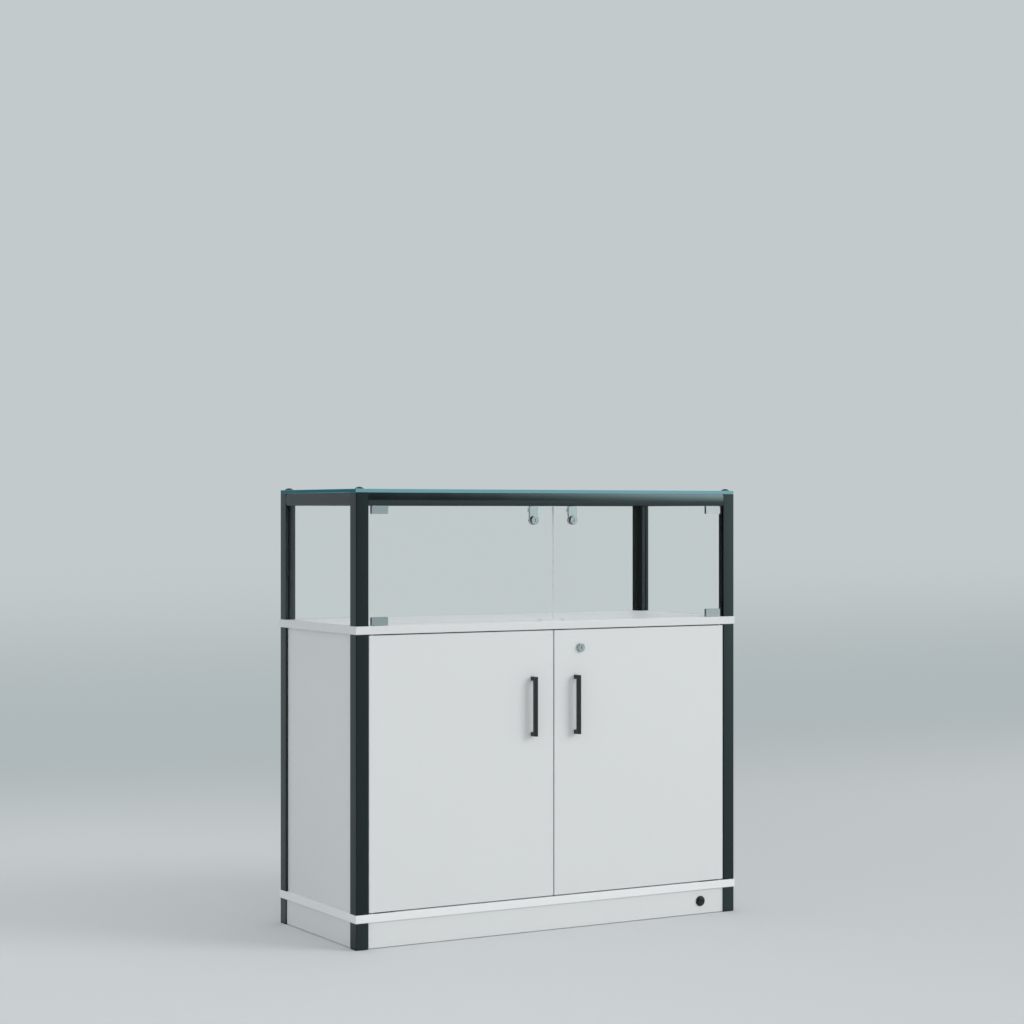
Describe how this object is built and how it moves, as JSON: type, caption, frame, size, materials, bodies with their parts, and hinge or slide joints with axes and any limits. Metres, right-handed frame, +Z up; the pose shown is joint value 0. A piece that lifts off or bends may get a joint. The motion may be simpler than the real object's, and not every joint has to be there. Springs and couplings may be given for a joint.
{
  "type": "shop counter",
  "caption": "Glass-topped shop counter: a white cabinet with hinged doors below and a low glass showcase with hinged doors above, held in black grooved aluminium posts.",
  "frame": {"origin": "middle of the counter's outer size, on the floor", "axes": "+X along the counter to the right as its doors are faced, +Y from the doors to the back, +Z up"},
  "size_m": [1, 0.4174, 1.0024],
  "materials": {
    "black_profile": "black anodised, satin",
    "black_rail": "black anodised, glossier",
    "white_board": "white laminate on board",
    "pad_plastic": "matt black",
    "bush_plastic": "black",
    "zinc_steel": "bright zinc",
    "black_head": "black",
    "top_glass": "float glass with a green edge",
    "clear_glass": "clear float glass",
    "rubber": "black",
    "clear_rubber": "clear",
    "nylon": "natural",
    "black_handle": "black, satin",
    "satin_steel": "satin nickel",
    "lock_steel": "satin chrome"
  },
  "bodies": {
    "carcass": {"back_pane": "clear_glass", "back_panel": "white_board", "board_leaves": "zinc_steel", "bottom_board": "white_board", "cable_bush": "bush_plastic", "dome_nuts": "black_head", "door_buffers": "clear_rubber", "door_stops": "zinc_steel", "feet": "black_profile", "foot_pads": "pad_plastic", "glass_bushes": "nylon", "inner_shelf": "white_board", "lower_post_front_left": "black_profile", "lower_post_front_right": "black_profile", "lower_post_rear_left": "black_profile", "lower_post_rear_right": "black_profile", "middle_board": "white_board", "pane_gaskets": "rubber", "plinth_brackets": "zinc_steel", "plinth_ends": "white_board", "plinth_front": "white_board", "plinth_rear": "white_board", "rail_connectors": "zinc_steel", "rail_ends": "black_rail", "rail_front": "black_rail", "rail_rear": "black_rail", "shelf_pins": "zinc_steel", "side_panel_left": "white_board", "side_panel_right": "white_board", "side_panes": "clear_glass", "tie_bolts": "zinc_steel", "top_glass": "top_glass", "upper_post_front_left": "black_profile", "upper_post_front_right": "black_profile", "upper_post_rear_left": "black_profile", "upper_post_rear_right": "black_profile"},
    "door_left": {"door_left": "white_board", "handle_left": "black_handle", "handle_screws_left": "zinc_steel", "door_leaves_left": "zinc_steel", "bolt_case": "zinc_steel"},
    "bolt": {"bolt_rod": "zinc_steel"},
    "door_right": {"door_right": "white_board", "handle_right": "black_handle", "handle_screws_right": "zinc_steel", "door_leaves_right": "zinc_steel", "cabinet_lock_case": "lock_steel"},
    "cabinet_lock": {"cabinet_lock_core": "lock_steel"},
    "glass_door_left": {"glass_door_left": "clear_glass", "glass_clamps_left": "satin_steel", "glass_lock_strap_left": "satin_steel", "glass_lock_case_left": "lock_steel"},
    "glass_lock_left": {"glass_lock_core_left": "lock_steel"},
    "glass_latch_left": {"glass_latch_left": "zinc_steel"},
    "glass_door_right": {"glass_door_right": "clear_glass", "glass_clamps_right": "satin_steel", "glass_lock_strap_right": "satin_steel", "glass_lock_case_right": "lock_steel"},
    "glass_lock_right": {"glass_lock_core_right": "lock_steel"},
    "glass_latch_right": {"glass_latch_right": "zinc_steel"}
  },
  "joints": [
    {"name": "door_left_hinge", "type": "hinge", "parent": "carcass", "child": "door_left", "pos_m": [-0.458, -0.18375, 0.38], "axis": [0, 0, -1], "range_deg": [0, 110]},
    {"name": "door_right_hinge", "type": "hinge", "parent": "carcass", "child": "door_right", "pos_m": [0.458, -0.18375, 0.38], "axis": [0, 0, 1], "range_deg": [0, 110]},
    {"name": "glass_door_left_hinge", "type": "hinge", "parent": "carcass", "child": "glass_door_left", "pos_m": [-0.4525, -0.18375, 0.83], "axis": [0, 0, -1], "range_deg": [0, 110]},
    {"name": "glass_door_right_hinge", "type": "hinge", "parent": "carcass", "child": "glass_door_right", "pos_m": [0.4525, -0.18375, 0.83], "axis": [0, 0, 1], "range_deg": [0, 110]},
    {"name": "bolt_slide", "type": "slide", "parent": "door_left", "child": "bolt", "axis": [0, 0, 1], "range_m": [0, 0.012]},
    {"name": "cabinet_lock_turn", "type": "hinge", "parent": "door_right", "child": "cabinet_lock", "pos_m": [0.0704, -0.17975, 0.6384], "axis": [0, -1, 0], "range_deg": [0, 90]},
    {"name": "glass_lock_left_turn", "type": "hinge", "parent": "glass_door_left", "child": "glass_lock_left", "pos_m": [-0.0512, -0.18375, 0.929], "axis": [0, 1, 0], "range_deg": [0, 90]},
    {"name": "glass_lock_right_turn", "type": "hinge", "parent": "glass_door_right", "child": "glass_lock_right", "pos_m": [0.0512, -0.18375, 0.929], "axis": [0, -1, 0], "range_deg": [0, 90]},
    {"name": "glass_latch_left_slide", "type": "slide", "parent": "glass_door_left", "child": "glass_latch_left", "axis": [0, 0, 1], "range_m": [0, 0.00566]},
    {"name": "glass_latch_right_slide", "type": "slide", "parent": "glass_door_right", "child": "glass_latch_right", "axis": [0, 0, 1], "range_m": [0, 0.00566]}
  ],
  "couplings": [
    {"joint": "glass_latch_left_slide", "follows": "glass_lock_left_turn", "m_per_rad": 0.0036013},
    {"joint": "glass_latch_right_slide", "follows": "glass_lock_right_turn", "m_per_rad": 0.0036013}
  ]
}
